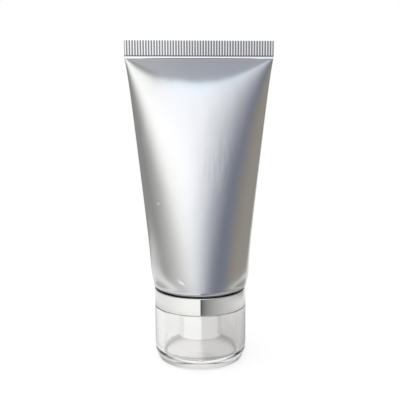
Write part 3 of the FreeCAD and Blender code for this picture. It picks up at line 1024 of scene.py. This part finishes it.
def make_world(scene):
    """Soft light by direction, and plain white behind the tube and through the acrylic."""
    world = bpy.data.worlds.new("soft_studio")
    scene.world = world
    world.use_nodes = True
    tree = world.node_tree
    tree.nodes.clear()
    x, y, z = axes(tree, "Generated")
    side = math.degrees(scene.tube_studio.camera_side)
    azimuth = x.math("ARCTAN2", y * -1.0) * (180 / math.pi) - side
    height = z.math("ARCSINE") * (180 / math.pi)

    # The room: darkest to the right of the camera, with a ceiling that is palest on the left.
    walls, ceiling, uneven = 0.30, 0.44, 0.08
    room = height.ramp(35, 43, walls, ceiling) \
        + height.ramp(35, 43) * azimuth.ramp(30, -30) * uneven \
        - window(azimuth, *DARK_ROOM) * height.ramp(40, 20) * uneven
    tone = mixed(tree, azimuth.ramp(-35, 10), NEUTRAL, COOL)
    tone = mixed(tree, azimuth.ramp(48, 75), tone, WARM)
    tone = mixed(tree, height.ramp(28, 42) * 0.4, tone, NEUTRAL)

    # The large soft box, whose sides lean outwards, then a glow under it, the light at the
    # far right and the light from behind.
    left_lean, right_lean, top_lean = 0.95, 0.82, 0.4
    across = (azimuth + height * left_lean).ramp(-75, -20) \
        * (azimuth - height * right_lean).ramp(48, -25)
    top = height - (azimuth + 4).math("MINIMUM", 0.0) * top_lean
    soft_box = across * height.ramp(-16, 15) * top.ramp(39.5, 35.5)
    low_glow = window(azimuth, *LOW_GLOW) * height.ramp(26, -14)
    far_light = window(azimuth, *FAR_LIGHT) * height.ramp(44, 30)
    behind = y.ramp(0.05, 0.35) * height.ramp(30, 50)
    lights = soft_box * 0.9 + low_glow * 0.3 + far_light * 0.93 + behind * 0.75

    # The table beyond the floor's edge is bright on the left and dimmer on the right, where it
    # also starts lower down.
    far = window(azimuth, *FAR_TABLE)
    low = height.ramp(-12.5, -16.5) * (1 - far) + height.ramp(-15.8, -17.2) * far
    right_rise, left_fall, steep_fall = 0.8, 0.16, 0.4
    table = azimuth.ramp(-1.5, 1.5, 1.0, 0.0) + (azimuth / 130).clamped() ** 0.5 * right_rise \
        - azimuth.ramp(-20, -110) * left_fall
    table = table * (1 - height.ramp(-18.8, -24) * steep_fall) \
        * (1 - height.ramp(-18.5, -19.5) * far * steep_fall)

    glow = add(tree, "ShaderNodeBackground", Color=tone, Strength=room * (1 - low))
    plain = add(tree, "ShaderNodeBackground",
                Color=mixed(tree, height.ramp(28, 37), LOW_LIGHT, HIGH_LIGHT),
                Strength=lights * (1 - low) + table * low)
    # Rays that pass through the acrylic find the white dimmer on the right and on the left.
    left_shade = 0.15
    shade = window(azimuth, *RIGHT_WHITE) * scene.tube_studio.right_shade \
        + window(azimuth, *LEFT_WHITE) * left_shade
    white = add(tree, "ShaderNodeBackground", Color=(*WHITE, 1.0),
                Strength=1 - shade * (1 - ray_is(tree, "Camera")))
    pick = blended(tree, ray_is(tree, "Camera", "Transmission"), summed(tree, glow, plain), white)
    add(tree, "ShaderNodeOutputWorld", Surface=pick)


def make_lamp(studio):
    """Large soft lamp overhead, for the floor and the matt plastics."""
    lamp = bpy.data.lights.new("overhead_lamp", "AREA")
    lamp.energy = studio.lamp_power
    lamp.size = 0.6
    holder = bpy.data.objects.new("overhead_lamp", lamp)
    holder.location = (-0.15, -0.15, 0.7)
    aim = Vector((0, 0, 0.05)) - holder.location
    holder.rotation_euler = aim.to_track_quat("-Z", "Y").to_euler()
    holder.visible_glossy = False
    holder.visible_transmission = False
    bpy.context.collection.objects.link(holder)


def make_camera(scene, studio):
    """Camera that stands a little to the left and looks slightly down."""
    data = bpy.data.cameras.new("camera")
    data.sensor_width = 36.0
    data.lens = studio.lens
    data.clip_start = 0.01
    camera = bpy.data.objects.new("camera", data)
    side = Matrix.Rotation(studio.camera_side, 4, "Z")
    camera.location = side @ Vector((0.0, -studio.camera_distance, studio.camera_height))
    pitch = Matrix.Rotation(math.pi / 2 - studio.camera_pitch, 4, "X")
    roll = Matrix.Rotation(studio.camera_roll, 4, "Z")
    camera.rotation_mode = "QUATERNION"
    camera.rotation_quaternion = (side @ pitch @ roll).to_quaternion()
    bpy.context.collection.objects.link(camera)
    scene.camera = camera


# ---------------------------------------------------------------- sidebar and registration

PIECES = (
    OBJECT_OT_tube_sleeve, OBJECT_OT_tube_crimp, OBJECT_OT_tube_mouldings,
    OBJECT_OT_tube_collar, OBJECT_OT_tube_overcap, OBJECT_OT_tube_studio,
)
GROUPS = {
    "tube_sleeve": SleeveSizes, "tube_crimp": CrimpSizes, "tube_cap": CapSizes,
    "tube_finish": FinishSettings, "tube_studio": StudioSettings,
}


class VIEW3D_PT_squeeze_tube(bpy.types.Panel):
    """Pieces of the squeeze tube and their sizes"""
    bl_label = "Squeeze Tube"
    bl_space_type = "VIEW_3D"
    bl_region_type = "UI"
    bl_category = "Squeeze Tube"

    def draw(self, context):
        for group, kind in GROUPS.items():
            box = self.layout.box()
            for name in kind.__annotations__:
                box.prop(getattr(context.scene, group), name)
        for operator in PIECES:
            self.layout.operator(operator.bl_idname)


def register():
    for kind in (*GROUPS.values(), *PIECES, VIEW3D_PT_squeeze_tube):
        bpy.utils.register_class(kind)
    for name, kind in GROUPS.items():
        setattr(bpy.types.Scene, name, PointerProperty(type=kind))


def unregister():
    for name in GROUPS:
        delattr(bpy.types.Scene, name)
    for kind in (VIEW3D_PT_squeeze_tube, *PIECES, *GROUPS.values()):
        bpy.utils.unregister_class(kind)


def main():
    register()
    for operator in PIECES:
        group, name = operator.bl_idname.split(".")
        getattr(getattr(bpy.ops, group), name)()


if __name__ == "__main__":
    main()
